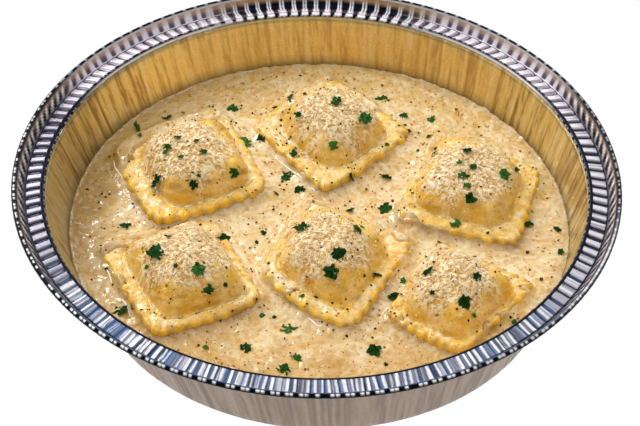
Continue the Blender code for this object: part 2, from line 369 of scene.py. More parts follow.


# The rim: a closed ring whose profile runs over the lip, the ribbed band, the groove and the outer band, round the
# curl and back underneath. The ribs are flat facets with lower gaps; at the front the foil is creased more finely.
# The rim's light and dark tones below are painted reflections and painted shade, and they differ by side round the
# ring.
def makePanRim():
    rim = panRim
    columns = rim["ribs"] * rim["samplesPerRib"]
    angle = (2 * math.pi * np.arange(columns) / columns)[None, :]

    def between(first, last, share):
        return [(first[k] + (last[k] - first[k]) * share) for k in (0, 1)]

    # Each station is (inset, drop, how ribbed, part, share across the part).
    stations = [(*place, 0, 0, number / 5) for number, place in enumerate(rim["lip"])]
    for share, ribbed in ((0, 0.3), (0.05, 0.9), (0.2, 1), (0.4, 1), (0.6, 1), (0.8, 1), (0.95, 0.9), (1, 0.3)):
        stations.append((*between(rim["ribStart"], rim["ribEnd"], share), ribbed, 1, share))
    stations += [(*place, 0.1, 2, number / 2) for number, place in enumerate(rim["groove"])]
    for share in (0, 0.25, 0.5, 0.75, 1):
        stations.append((*between(rim["bandStart"], rim["bandEnd"], share), 0.35, 3, share))
    curl = rim["curlRadius"]
    for turn in (165, 148, 132, 118, 104, 92, 80, 68, 56, 44, 30, 12, -10, -40, -70):
        stations.append((curl - curl * math.cos(math.radians(turn)), curl - curl * math.sin(math.radians(turn)), 0.2, 4, turn))
    stations += [(*place, 0, 5, 0) for place in rim["under"]]
    inset, drop, ribbed, part, share = (np.array(v)[:, None] for v in zip(*stations))

    front, back = frontShare(angle), backShare(angle)
    rear, middle = smoothStep(0.36, 0.60, np.sin(angle)), smoothStep(0.88, 0.97, np.sin(angle))
    place = roundPlace(angle)
    # creases lean: the pattern shifts along the rim as it crosses it
    lean = np.where(part == 1, share - 0.5, 0) * (0.008 * softNoise(*place, 7 * mm, 20) * front + 0.010 * (back - middle) + 0.012 * rear * np.cos(angle))
    leaning = roundPlace(angle + lean)
    phase = (angle + lean) / (2 * math.pi) * rim["ribs"] + 0.10 * softNoise(*place, 9 * mm, 11)
    turnShare = phase % 1
    facetWidth = 0.57 + 0.05 * np.cos(angle) + 0.09 * softNoise(*place, 13 * mm, 12)
    facet = smoothStep(0.0, 0.07, turnShare) * (1 - smoothStep(facetWidth, facetWidth + 0.07, turnShare))
    fine = softNoise(*leaning, 0.55 * mm, 21) + 0.7 * softNoise(*leaning, 1.3 * mm, 22)
    # two round dots to a rib, one of them lost here and there: shallow dents in the curl, painted white as highlights
    # on the curl and the lip
    jitter = 0.05 * softNoise(*place, 3 * mm, 24)
    second = smoothStep(-0.55, -0.3, softNoise(*place, 6 * mm, 25))
    dots = smoothStep(0.16, 0.08, np.abs(turnShare - 0.32 - jitter))
    dots = np.maximum(dots, second * smoothStep(0.15, 0.08, np.abs(turnShare - 0.66 + jitter)))
    dash = smoothStep(0.02, 0.08, turnShare) * smoothStep(0.70, 0.62, turnShare + jitter)

    drops = drop * mm + rim["ribDepth"] * ribbed * (1 - facet) * (1 - 0.6 * front) * (part != 4)
    drops = drops + 0.12 * mm * ribbed * front * fine * (part == 1)
    insets = inset * mm + 0.05 * mm * (1 - dots) * (part == 4)
    z = rimTop - np.clip(drops, 0, None)
    r = rimRadius - np.clip(insets, 0, None)
    points = np.stack([r * np.cos(angle), r * np.sin(angle), z], -1)

    # colours of painted reflection: white and lilac for mirrored lights; navy, slate, dark blue and taupe for mirrored
    # dark surroundings and shade
    white, lilac, navy = linearColour("#f8f6fc"), linearColour("#f4ecf7"), linearColour("#0a0f1e")
    slate, darkBlueReflection, taupe = linearColour("#6079a0"), linearColour("#1c2a46"), linearColour("#93868f")
    facetWhite = blendColour(linearColour("#88848f"), linearColour("#cfcbd3"), smoothStep(-0.5, 0.4, np.cos(angle)))
    facetWhite = blendColour(facetWhite, lilac, smoothStep(0.25, 0.65, np.sin(angle)))
    # the ribbed band: painted reflections, light on the facets and darker at the left, and painted shade, dark, in the
    # gaps and in a line down each gap
    gap = blendColour(blendColour(navy, darkBlueReflection, front), taupe, smoothStep(0.25, 0.6, np.sin(angle)) * (1 - 0.7 * middle))
    notchShade = smoothStep(0.10, 0.04, np.abs(turnShare - facetWidth / 2 - 0.53)) * (0.35 + 0.65 * smoothStep(0.3, 0.9, share))
    gap = blendColour(gap, lilac, 0.45 * rear * (1 - middle) * smoothStep(-0.2, 0.5, fine))
    gap = blendColour(gap, navy, rear * (1 - middle) * notchShade)
    gap = blendColour(gap, linearColour("#333749"), 0.8 * (1 - rear) * smoothStep(0.11, 0.05, np.abs(turnShare - facetWidth / 2 - 0.53)))
    dimmedReflection = smoothStep(0.35, 0.7, fine) * np.maximum(smoothStep(-0.2, 0.6, np.cos(angle)), 0.7 * rear) * (1 - front)
    sideTone = blendColour(gap, facetWhite, facet * (1 - 0.5 * dimmedReflection))
    # at the back its outer half is painted dark between two painted highlight lines to a rib
    lines = np.maximum(smoothStep(0.09, 0.04, np.abs(turnShare - 0.20)), smoothStep(0.09, 0.04, np.abs(turnShare - 0.42)))
    outerHalf = blendColour(navy, white, lines)
    sideTone = blendColour(sideTone, outerHalf, middle * smoothStep(0.40, 0.62, share + 0.12 * np.cos(2 * math.pi * (turnShare - 0.3))))
    # at the front thin light lines, about two to a rib, cross slate and dark blue: painted reflections of the finer
    # creases
    double = (2 * phase + 0.45 * softNoise(*leaning, 4 * mm, 27)) % 1
    stripes = blendColour(slate, darkBlueReflection, smoothStep(-0.3, 0.5, softNoise(*leaning, 1.6 * mm, 28) + 0.6 * fine))
    stripes = blendColour(stripes, darkBlueReflection, smoothStep(0.16, 0.05, np.abs(double - 0.66)) * 0.8)
    stripes = blendColour(stripes, lilac * 0.8, 0.6 * smoothStep(0.25, 0.7, fine))
    stripes = blendColour(stripes, linearColour("#ffffff"), smoothStep(0.23, 0.15, np.abs(double - 0.34)) * smoothStep(-0.6, -0.3, softNoise(*leaning, 2.8 * mm, 29)))
    ribTone = blendColour(sideTone, stripes, front * 0.85)
    # the lip: painted dark as a reflection, with a painted highlight thread at the wall's edge and, at the back, a
    # painted highlight dash for each rib
    threadHighlight = smoothStep(0.45, 0.30, share)
    lipTone = blendColour(navy * 0.6, linearColour("#2e4160"), 0.12 * np.exp(-((share - 0.45) / 0.16) ** 2) * (1 - rear))
    lipTone = blendColour(lipTone, white, threadHighlight * np.maximum(rear * (1 - middle), 0.5 * dots * (share < 0.3)))
    lipTone = blendColour(lipTone, white, rear * dash * middle * smoothStep(0.1, 0.3, share) * smoothStep(0.95, 0.8, share))
    lipTone = blendColour(lipTone, white, rear * (1 - middle) * 0.5 * dots * smoothStep(0.7, 0.85, share))
    # the groove: a painted dark line of shade, with a painted highlight line outside it at the back
    grooveTone = blendColour(navy, white, smoothStep(0.5, 0.9, share) * (0.08 + 0.85 * rear))
    grooveTone = blendColour(grooveTone, outerHalf, middle)
    grooveTone = blendColour(grooveTone, lilac, rear * 0.5 * smoothStep(0.25, 0.0, np.abs(turnShare - 0.35)) * (share < 0.3))
    # the outer band: painted reflections, leaning light strands like a rope's at the sides, and upright light and dark
    # bars at the back
    strand = (phase - 0.85 * np.cos(angle) * share * (1 - rear) + 0.2 * softNoise(*place, 4 * mm, 26)) % 1
    bar = smoothStep(0.02, 0.2, strand) * (1 - smoothStep(0.50, 0.75, strand))
    strand = smoothStep(0.05, 0.22, strand) * (1 - smoothStep(0.38, 0.60, strand))
    tan = linearColour("#d3b394")
    rope = blendColour(linearColour("#2c2526"), linearColour("#a08068"), smoothStep(0.5, 1.0, share))
    rope = blendColour(rope, linearColour("#fffafa"), strand * (0.35 + 0.6 * smoothStep(0.1, 0.45, share)) * smoothStep(1.15, 0.8, share))
    bars = blendColour(linearColour("#66576a"), linearColour("#fbf4fd"), bar)
    bars = blendColour(bars, blendColour(tan, white, 0.35 * strand), smoothStep(0.35, 0.9, share) * 0.75)
    bars = blendColour(bars, linearColour("#b58a52"), middle * 0.8)
    bars = blendColour(bars, outerHalf, middle * smoothStep(0.62, 0.40, share))
    bandTone = blendColour(rope, bars, rear)
    # the curl: painted dark as a reflection, with painted highlight dots and a highlight at the right front; at the
    # back dark dashes outside a painted highlight line
    ridge = np.exp(-((share - 92 + 36 * front) / (15 + 8 * front)) ** 2)
    curlTone = blendColour(navy * 0.5, slate * 0.7, front * smoothStep(84, 104, share) * smoothStep(140, 120, share))
    curlTone = blendColour(curlTone, linearColour("#ffffff"), np.clip(dots * ridge * 1.2, 0, 1) * (1 - rear) * (0.8 + 0.2 * front - 0.35 * smoothStep(0.0, 0.6, np.cos(angle)) * smoothStep(-0.4, 0.0, np.sin(angle))))
    curlTone = blendColour(curlTone, linearColour("#b9c4d4"), rear * smoothStep(0.16, 0.08, np.abs(turnShare - 0.5)) * 0.9 * np.exp(-((share - 80) / 40) ** 2))
    curlTone = blendColour(curlTone, white, np.exp(-((share - 155) / 16) ** 2) * (0.08 + 0.92 * rear))
    rightFront = smoothStep(0.2, 0.6, np.cos(angle)) * smoothStep(0.1, 0.4, -np.sin(angle))
    curlTone = blendColour(curlTone, white, rightFront * (1 - front) * np.exp(-((share - 80) / 22) ** 2) * 0.9)
    underTone = np.broadcast_to(linearColour("#8d8278"), ribTone.shape)
    tone = np.zeros(ribTone.shape)
    for number, colours in enumerate((lipTone, ribTone, grooveTone, bandTone, curlTone, underTone)):
        tone = np.where((part == number)[..., None], colours, tone)

    rows = len(stations)
    i, j = np.meshgrid(np.arange(rows), np.arange(columns), indexing="ij")
    below, after = (i + 1) % rows, (j + 1) % columns
    quads = np.stack([i * columns + j, below * columns + j, below * columns + after, i * columns + after], -1).reshape(-1, 4)
    slots = (part[:, 0] == 5).astype(int)
    piece = makePiece("pan_rim", points, [quads], [foilRimMaterial, foilOutsideMaterial], tone, np.repeat(slots, columns))
    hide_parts("foil_pan")
    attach(piece, "root")


makePanRim()


# ---- where each ravioli lies, read from its solid ----

ravioliShape = {
    "cornerReach": 1.037,
    "knobsPerSide": 8,
    "knobHeight": 0.6 * mm, "knobReach": 0.030,       # reach as a share of the half width
    "seamDepth": 0.6 * mm,
    "borderThickness": 4.4 * mm,
    "cornerCut": 0.075,
    "columns": 400, "topRows": 84,
}


# The four corners of a ravioli: the point farthest from the middle, the one farthest from that, and the two farthest
# to each side of the line between them, put in order round the middle from the front left. The solid's corners are
# rounded off, so the true corners lie a little further out.
def readRavioli(nodeName):
    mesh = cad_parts[nodeName].data
    co = np.zeros(len(mesh.vertices) * 3)
    mesh.vertices.foreach_get("co", co)
    co = co.reshape(-1, 3)
    middle = (co.min(0) + co.max(0)) / 2
    first = co[np.argmax(np.hypot(*(co - middle)[:, :2].T))]
    second = co[np.argmax(np.hypot(*(co - first)[:, :2].T))]
    along = second - first
    side = along[0] * (co[:, 1] - first[1]) - along[1] * (co[:, 0] - first[0])
    found = np.array([first, second, co[np.argmax(side)], co[np.argmin(side)]])
    centre = found.mean(0)
    turn = np.arctan2(found[:, 1] - centre[1], found[:, 0] - centre[0])
    order = np.argsort((turn + math.pi) % (2 * math.pi))
    corners = []
    for corner in found[order]:
        near = co[np.hypot(*(co - corner)[:, :2].T) < 4 * mm]
        out = centre + (corner - centre) * ravioliShape["cornerReach"]
        corners.append((out[0], out[1], near[:, 2].max()))
    corners = np.array(corners)
    return {"corners": corners, "pillow": co[:, 2].max() - corners[:, 2].mean()}


# The square patch between four corners: s and t run from -1 to 1, and the point is a + b s + c t + d s t.
def patchTerms(corners):
    a, b, c, d = corners
    return (a + b + c + d) / 4, (-a + b + c - d) / 4, (-a - b + c + d) / 4, (a - b + c - d) / 4


def patchPoint(corners, s, t):
    p0, p1, p2, p3 = patchTerms(corners)
    s, t = s[..., None], t[..., None]
    return p0 + p1 * s + p2 * t + p3 * s * t


# The patch's s and t for points of the plan, by Newton's steps.
def patchCoordinates(corners, x, y):
    p0, p1, p2, p3 = (term[:2] for term in patchTerms(corners))
    s, t = np.zeros_like(x), np.zeros_like(x)
    for _ in range(7):
        errorX = p0[0] + p1[0] * s + p2[0] * t + p3[0] * s * t - x
        errorY = p0[1] + p1[1] * s + p2[1] * t + p3[1] * s * t - y
        xs, ys = p1[0] + p3[0] * t, p1[1] + p3[1] * t
        xt, yt = p2[0] + p3[0] * s, p2[1] + p3[1] * s
        det = xs * yt - xt * ys
        det = np.where(np.abs(det) < 1e-9, 1e-9, det)
        s = np.clip(s - (errorX * yt - errorY * xt) / det, -4, 4)
        t = np.clip(t - (errorY * xs - errorX * ys) / det, -4, 4)
    return s, t


# ---- ravioli ----

# what differs from one to the next: the filling's shift, its half size across and along and how far each side bows out,
# all as shares of the half width; how square the filling's corners are, how soft its foot is and how much painted shade
# darkens its flank, more on those that lie in shade; where the cheese is heaped and how far it spreads, and a clump of
# it, from the filling's middle; and the sides whose seams hold wet beads
ravioliLooks = (
    {"shift": (0.08, 0.00), "half": (0.76, 0.80), "bows": (0.00, 0.03, 0.14, 0.05), "corner": 4.5, "foot": 0.55, "flankShade": 0.7,
     "heap": (-3.0 * mm, -2.0 * mm), "spread": 17.6 * mm, "clump": None, "wet": (0,), "seed": 101},
    {"shift": (0.06, 0.02), "half": (0.75, 0.80), "bows": (0.04, 0.00, 0.03, 0.00), "corner": 3.4, "foot": 0.75, "flankShade": 0.3,
     "heap": (0, -2.0 * mm), "spread": 16.8 * mm, "clump": None, "wet": (0, 3), "seed": 202},
    {"shift": (-0.08, 0.03), "half": (0.79, 0.77), "bows": (0.03, 0.00, 0.02, 0.00), "corner": 4.5, "foot": 0.5, "flankShade": 0.35,
     "heap": (-1.0 * mm, -1.0 * mm), "spread": 17.2 * mm, "clump": (-15 * mm, -9 * mm), "wet": (0,), "seed": 303},
    {"shift": (0.05, 0.00), "half": (0.77, 0.80), "bows": (0.05, 0.02, 0.04, 0.02), "corner": 6.0, "foot": 0.65, "flankShade": 0.6,
     "heap": (0, 1.0 * mm), "spread": 16.8 * mm, "clump": None, "wet": (0, 3), "seed": 404},
    {"shift": (-0.06, -0.03), "half": (0.79, 0.79), "bows": (0.14, 0.00, 0.02, 0.00), "corner": 4.2, "foot": 0.75, "flankShade": 0.35,
     "heap": (-1.0 * mm, -1.0 * mm), "spread": 15.6 * mm, "clump": (-14 * mm, -15 * mm), "wet": (0,), "seed": 505},
    {"shift": (0.00, 0.00), "half": (0.80, 0.80), "bows": (0.02, 0.00, 0.02, 0.00), "corner": 4.5, "foot": 0.65, "flankShade": 0.3,
     "heap": (-2.0 * mm, 1.5 * mm), "spread": 15.2 * mm, "clump": (-14 * mm, -5 * mm), "wet": (0,), "seed": 606},
)
ravioli = [{**readRavioli("ravioli_%d" % (i + 1)), **looks} for i, looks in enumerate(ravioliLooks)]
halfWidth = 26 * mm                                   # of one ravioli


# How far out on a square patch a point is: a power mean of |s| and |t|, nearer a square as the power grows.
def squareReach(s, t, power):
    return (np.abs(s) ** power + np.abs(t) ** power) ** (1 / power)


# Which side of the square a point faces, from 0 to 3, and how far along it, from -1 to 1.
def sideAndAlong(s, t):
    reach = np.maximum(np.maximum(np.abs(s), np.abs(t)), 1e-6)
    onT = np.abs(t) >= np.abs(s)
    return np.where(onT, np.where(t < 0, 0, 2), np.where(s > 0, 1, 3)), np.where(onT, s, t) / reach


# How far out towards its own edge a point of a ravioli is: the reach, over what its side bows out there.
def edgeReach(one, s, t):
    side, along = sideAndAlong(s, t)
    return squareReach(s, t, 12) / (1 + np.take(one["bows"], side) * (1 - along ** 2))


# The crimp: a cosine along each side, with knobsPerSide knobs to a side, their places and sizes a little uneven.
def crimpWave(one, s, t):
    side, along = sideAndAlong(s, t)
    drift = 0.26 * softNoise(along * halfWidth, side * 40 * mm, 11 * mm, one["seed"] + 31)
    wave = 0.5 + 0.5 * np.cos(math.pi * ravioliShape["knobsPerSide"] * (along + 1) + 2 * math.pi * drift * (1 - along ** 4))
    return np.clip(wave * (0.72 + 0.8 * softNoise(along * halfWidth, side * 40 * mm, 5 * mm, one["seed"] + 33)), 0, 1)


# Height of a ravioli's top above its patch. The pillow is pillow x (1 - q^2.8)^foot, where q runs from 0 at its middle
# to 1 at the seam and grows as a power mean of the two directions. Then come the pressed seam with its small pleats, the
# border, and the knobs along its edge.
def ravioliTop(one, s, t):
    shape = ravioliShape
    x, y = s * halfWidth, t * halfWidth
    q = seamReach(one, s, t)
    pillow = one["pillow"] * np.clip(1 - q ** 2.8, 0, 1) ** one["foot"]
    pillow = pillow * (1 + 0.08 * softNoise(x, y, 11 * mm, one["seed"] + 1))
    pillow = pillow + (0.5 * mm * softNoise(x, y, 5.5 * mm, one["seed"] + 2) + 0.3 * mm * softNoise(x, y, 2.4 * mm, one["seed"] + 7)) * smoothStep(1.05, 0.8, q)
    side, along = sideAndAlong(s, t)
    pleats = softNoise(along * halfWidth * 1.6, side * 30 * mm, 2.6 * mm, one["seed"] + 32)
    seam = -shape["seamDepth"] * (1 + 0.4 * pleats) * np.exp(-((q - 1.05) / 0.045) ** 2)
    seam = seam + 0.35 * mm * pleats * np.exp(-((q - 1.05) / 0.14) ** 2)
    reach = edgeReach(one, s, t)
    onBorder = smoothStep(1.0, 1.12, q)
    border = onBorder * (0.6 * mm * softNoise(x, y, 6 * mm, one["seed"] + 3) + 0.4 * mm * softNoise(x, y, 2.7 * mm, one["seed"] + 4))
    uneven = 0.9 + 0.5 * softNoise(x, y, 8 * mm, one["seed"] + 5)
    knobs = shape["knobHeight"] * (crimpWave(one, s, t) - 0.45) * (uneven + 0.6 * softNoise(x, y, 4 * mm, one["seed"] + 18)) * np.exp(-((reach - 0.935) / 0.06) ** 2)
    knobs = knobs * (1 - 0.6 * edgeShelter(one, s, t))
    fall = -1.5 * mm * smoothStep(0.92, 1.04, reach) ** 2
    return pillow + seam + border + knobs + fall


# How sheltered an edge is: the sides at the back and the left lie deeper in the sauce, so their knobs show less.
def edgeShelter(one, s, t):
    out = (patchPoint(one["corners"], s, t) - one["corners"].mean(0)) / (1.2 * halfWidth)
    return smoothStep(0.0, 0.8, out[..., 1] - 0.9 * out[..., 0])


def seamReach(one, s, t):
    q = squareReach((s - one["shift"][0]) / one["half"][0], (t - one["shift"][1]) / one["half"][1], one["corner"])
    return q * (1 + 0.03 * softNoise(s * halfWidth, t * halfWidth, 9 * mm, one["seed"]))


# How thick the cheese lies: full near its middle, none beyond its spread, with a ragged edge.
def cheeseShare(one, x, y):
    middle = fillingMiddle(one)
    away = np.hypot(x - middle[0] - one["heap"][0], y - middle[1] - one["heap"][1]) / one["spread"]
    return smoothStep(1.22, 0.72, away + 0.32 * layeredNoise(x, y, 6 * mm, one["seed"] + 8))


def fillingMiddle(one):
    return patchPoint(one["corners"], np.array(one["shift"][0]), np.array(one["shift"][1]))


# A pale clump of melted cheese: 1 at its middle, falling off as exp(-(distance/radius)^2), with a wavy edge.
def clumpShare(one, x, y):
    if one["clump"] is None:
        return np.zeros_like(x)
    middle = fillingMiddle(one)
    away = np.hypot((x - middle[0] - one["clump"][0]) / 1.5, y - middle[1] - one["clump"][1]) / (1.4 * mm)
    return np.exp(-np.clip(away + 0.5 * layeredNoise(x, y, 1.6 * mm, one["seed"] + 15), 0, None) ** 2)


def makeRavioli(number, one):
    shape = ravioliShape
    columns = shape["columns"]
    k = np.arange(columns) / columns * 4
    side = np.floor(k)
    along = 2 * (k - side) - 1
    soft = 1 - shape["cornerCut"] * np.abs(along) ** 8
    baseS, baseT = along * soft, -soft
    cos, sin = np.round(np.cos(side * math.pi / 2)), np.round(np.sin(side * math.pi / 2))
    ringS, ringT = baseS * cos - baseT * sin, baseS * sin + baseT * cos
    # rows over the top, closer together near the edge, then down the side and under
    topReach = 0.955 * (1 - (1 - np.linspace(0.015, 1, shape["topRows"])) ** 1.25)
    sideReach = np.array([0.976, 0.996, 1.008, 1.010, 0.995])
    sideDrop = np.array([-0.2, -0.65, -1.5, -2.6, -4.4]) * mm
    allReach = np.concatenate([topReach, sideReach])[:, None]
    wave = crimpWave(one, ringS, ringT)[None, :]
    uneven = 0.85 + 0.5 * softNoise(ringS * halfWidth, ringT * halfWidth, 7 * mm, one["seed"] + 6)[None, :]
    grow = 1 + shape["knobReach"] * (wave - 0.6) * uneven * smoothStep(0.84, 0.97, allReach)
    grow = grow + 0.02 * softNoise(ringS * halfWidth, ringT * halfWidth, 16 * mm, one["seed"] + 16)[None, :] * allReach ** 4
    bow = np.take(one["bows"], side.astype(int)) * (1 - along ** 2)
    grow = grow + bow[None, :] * smoothStep(0.45, 1.0, allReach)
    s, t = allReach * ringS * grow, allReach * ringT * grow
    rows = len(topReach)
    edge = ravioliTop(one, s[rows - 1], t[rows - 1])
    lift = np.concatenate([ravioliTop(one, s[:rows], t[:rows]),
                           edge[None, :] * (1 + sideDrop[:, None] / shape["borderThickness"]) + sideDrop[:, None]])
    under = np.array([[0.70, -5.2 * mm], [0.35, -7.0 * mm]])
    s = np.concatenate([s, under[:, :1] * ringS])
    t = np.concatenate([t, under[:, :1] * ringT])
    lift = np.concatenate([lift, np.broadcast_to(under[:, 1:], (2, columns))])
    points = patchPoint(one["corners"], s, t)
    points[..., 2] += lift

    # cheese too fine for shreds of its own is relief on the pillow
    x, y = points[..., 0].copy(), points[..., 1].copy()
    onTop = (np.arange(len(s)) < rows)[:, None]
    cheese = cheeseShare(one, x, y) * onTop
    grains = 0.5 + 0.5 * layeredNoise(x, y, 0.95 * mm, one["seed"] + 9)
    nodules = smoothStep(0.38, 0.56, grains)
    clump = clumpShare(one, x, y) * onTop
    points[..., 2] += cheese * (0.25 + nodules) * 0.42 * mm + clump * 0.3 * mm

    # Colours: gold pasta under a film of cream, with painted shade on the lower flank, at the seam and between the
    # knobs, and pale grains of cheese.
    gold, amber, deep = linearColour("#f8c748"), linearColour("#ffc61c"), linearColour("#a0741a")
    flank, paleCream = linearColour("#e2ad34"), linearColour("#f9da92")
    cheesePale, cheeseDeep = linearColour("#fde8bc"), linearColour("#cf983c")
    q = seamReach(one, s, t)
    reachHere = edgeReach(one, s, t)
    # painted shade: darker gold on the lower flank towards the seam, and less pale cream on the ravioli that lie in
    # shade
    tone = blendColour(gold, flank, smoothStep(0.62, 0.98, q) * smoothStep(1.03, 0.98, q) * (0.4 + 0.6 * one["flankShade"]))
    cream = smoothStep(-0.1, 0.45, layeredNoise(x, y, 4 * mm, one["seed"] + 11))
    tone = blendColour(tone, paleCream, cream * (0.78 - 0.35 * one["flankShade"]))
    lifted = y + 1.6 * points[..., 2]
    # painted shade in darker patches on the flank, stronger on the ravioli that lie in shade
    flankShadePatches = smoothStep(-0.05, 0.5, layeredNoise(x * 0.7, lifted, 4 * mm, one["seed"] + 17)) * smoothStep(0.35, 0.6, q) * smoothStep(1.05, 1.0, q)
    tone = blendColour(tone, linearColour("#a87420"), one["flankShade"] * flankShadePatches)
    tone = blendColour(tone, linearColour("#d09a34"), 0.5 * smoothStep(0.1, 0.5, layeredNoise(x, lifted, 3 * mm, one["seed"] + 14)))
    pooled = smoothStep(-0.1, 0.4, layeredNoise(x * 0.8, lifted, 4 * mm, one["seed"] + 22)) * smoothStep(0.84, 0.96, q) * smoothStep(1.12, 1.02, q)
    tone = blendColour(tone, paleCream, 0.6 * pooled)
    onBorder = smoothStep(1.05, 1.12, q) * smoothStep(0.97, 0.88, reachHere)
    sheltered = edgeShelter(one, s, t)
    tone = blendColour(tone, paleCream, onBorder * smoothStep(-0.6, 0.3, layeredNoise(x, y, 4 * mm, one["seed"] + 12)) * (0.5 + 0.3 * sheltered))
    tone = blendColour(tone, linearColour("#fbe7bc"), 0.75 * onBorder * smoothStep(0.0, 0.45, layeredNoise(x, y, 3.2 * mm, one["seed"] + 23)))
    tone = blendColour(tone, linearColour("#d99a20"), 0.5 * onBorder * smoothStep(0.12, 0.5, layeredNoise(x, y, 2.2 * mm, one["seed"] + 24)))
    wave = crimpWave(one, s, t)
    atEdge = smoothStep(0.87, 0.96, reachHere)
    patchy = softNoise(x, y, 5 * mm, one["seed"] + 19)
    bare = 1 - 0.55 * sheltered
    tone = blendColour(tone, amber, np.clip(wave * 1.2, 0, 1) * atEdge * (0.75 + 0.35 * patchy) * bare)
    # painted shade between the knobs and in the seam
    tone = blendColour(tone, deep, (1 - wave) ** 1.3 * smoothStep(0.88, 0.98, reachHere) * (0.5 - 0.3 * patchy) * bare)
    tone = blendColour(tone, deep, 0.5 * np.exp(-((q - 1.04) / 0.03) ** 2) * smoothStep(-0.5, 0.4, softNoise(x, y, 2.5 * mm, one["seed"] + 13)))
    tone = blendColour(tone, blendColour(cheeseDeep, cheesePale, nodules), smoothStep(0.0, 0.9, cheese * (0.6 + 0.6 * nodules)) * 0.92)
    tone = blendColour(tone, linearColour("#fbead2"), clump * 0.8)

    top = patchPoint(one["corners"], np.zeros(1), np.zeros(1))[0]
    bottom = top.copy()
    top[2] = points[0, :, 2].mean()
    bottom[2] -= 7.6 * mm
    allPoints = np.concatenate([[top], points.reshape(-1, 3), [bottom]])
    tones = np.concatenate([tone[0, :1], tone.reshape(-1, 3), tone[-1, :1]])
    onBorder = (q[:-1] > 1.03) | ~onTop[:-1]
    slots = np.concatenate([onBorder.ravel(), np.zeros(columns, bool), np.ones(columns, bool)]).astype(int)
    piece = makePiece("pasta_%d" % number, allPoints, closedRings(len(s), columns), [pastaMaterial, borderMaterial], tones, slots)
    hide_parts("ravioli_%d" % number)
    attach(piece, "root")
    return piece


for number, one in enumerate(ravioli, start=1):
    makeRavioli(number, one)


# ---- cream sauce ----

creamSauce = {
    "cells": 304,
    "lumpHeight": 0.5 * mm, "lumpSize": 7 * mm,
    "curdHeight": 0.42 * mm, "curdSize": 2.6 * mm,
    "edgeRise": 0.5 * mm,
    # smooth humps where something lies just under the surface: x, y, radius and height
    "humps": ((5 * mm, -72 * mm, 13 * mm, 1.8 * mm), (-18 * mm, -72 * mm, 9 * mm, 0.8 * mm), (-70 * mm, 28 * mm, 9 * mm, 0.9 * mm)),
    "clingLow": 1.6 * mm, "clingHigh": 4.3 * mm,      # how far it climbs a ravioli's edge, most at the back
}


# The sauce's height: its level, lumps and curds, humps that fall off as exp(-(distance/radius)^2), a rise against the
# wall, and a rise against each ravioli's edge that differs from place to place and drowns the border here and there.
def sauceHeight(x, y):
    sauce = creamSauce
    z = sauceLevel + sauce["lumpHeight"] * layeredNoise(x, y, sauce["lumpSize"], 41)
    z = z + sauce["curdHeight"] * smoothStep(0.0, 0.6, layeredNoise(x, y, sauce["curdSize"], 44)) + 0.16 * mm * softNoise(x, y, 1.5 * mm, 45)
    for humpX, humpY, radius, height in sauce["humps"]:
        z = z + height * np.exp(-((x - humpX) ** 2 + (y - humpY) ** 2) / radius ** 2)
    fromWall = innerWallRadius(sauceLevel) - np.hypot(x - wallDrift(sauceLevel), y)
    z = z + sauce["edgeRise"] * np.exp(-np.clip(fromWall, 0, None) / (1.0 * mm))
    rise = np.zeros_like(z)
    inside = np.zeros_like(z)
    for one in ravioli:
        s, t = patchCoordinates(one["corners"], x, y)
        reach = edgeReach(one, s, t)
        away = np.clip((reach - 0.99) * halfWidth, 0, None)
        back = (y - one["corners"][:, 1].mean()) / (1.2 * halfWidth)
        left = (one["corners"][:, 0].mean() - x) / (1.2 * halfWidth)
        drowned = 0.7 * softNoise(x, y, 12 * mm, one["seed"] + 20) + 0.7 * softNoise(x, y, 5 * mm, one["seed"] + 21) + 0.65 * back + 0.45 * left
        drowned = smoothStep(-0.5, 0.9, drowned)
        cling = sauce["clingLow"] + (sauce["clingHigh"] - sauce["clingLow"]) * drowned
        rise = np.maximum(rise, cling * np.exp(-away / (1.9 * mm)))
        lap = 0.13 * smoothStep(0.45, 0.95, drowned)
        inside = np.maximum(inside, smoothStep(0.96 - lap, 0.84 - lap, reach))
    return z + rise - 3.5 * mm * inside


# How near a point is to the front foot of a ravioli, where a painted shadow darkens the sauce: exp(-(distance/2.4 mm)).
def pastaFootShadow(x, y):
    near = np.zeros_like(x)
    for one in ravioli:
        s, t = patchCoordinates(one["corners"], x, y)
        middle = one["corners"].mean(0)
        front = smoothStep(0.1, 0.7, (middle[1] - y) / np.hypot(x - middle[0], y - middle[1]))
        near = np.maximum(near, front * np.exp(-np.clip((edgeReach(one, s, t) - 1) * halfWidth, 0, None) / (2.4 * mm)))
    return near


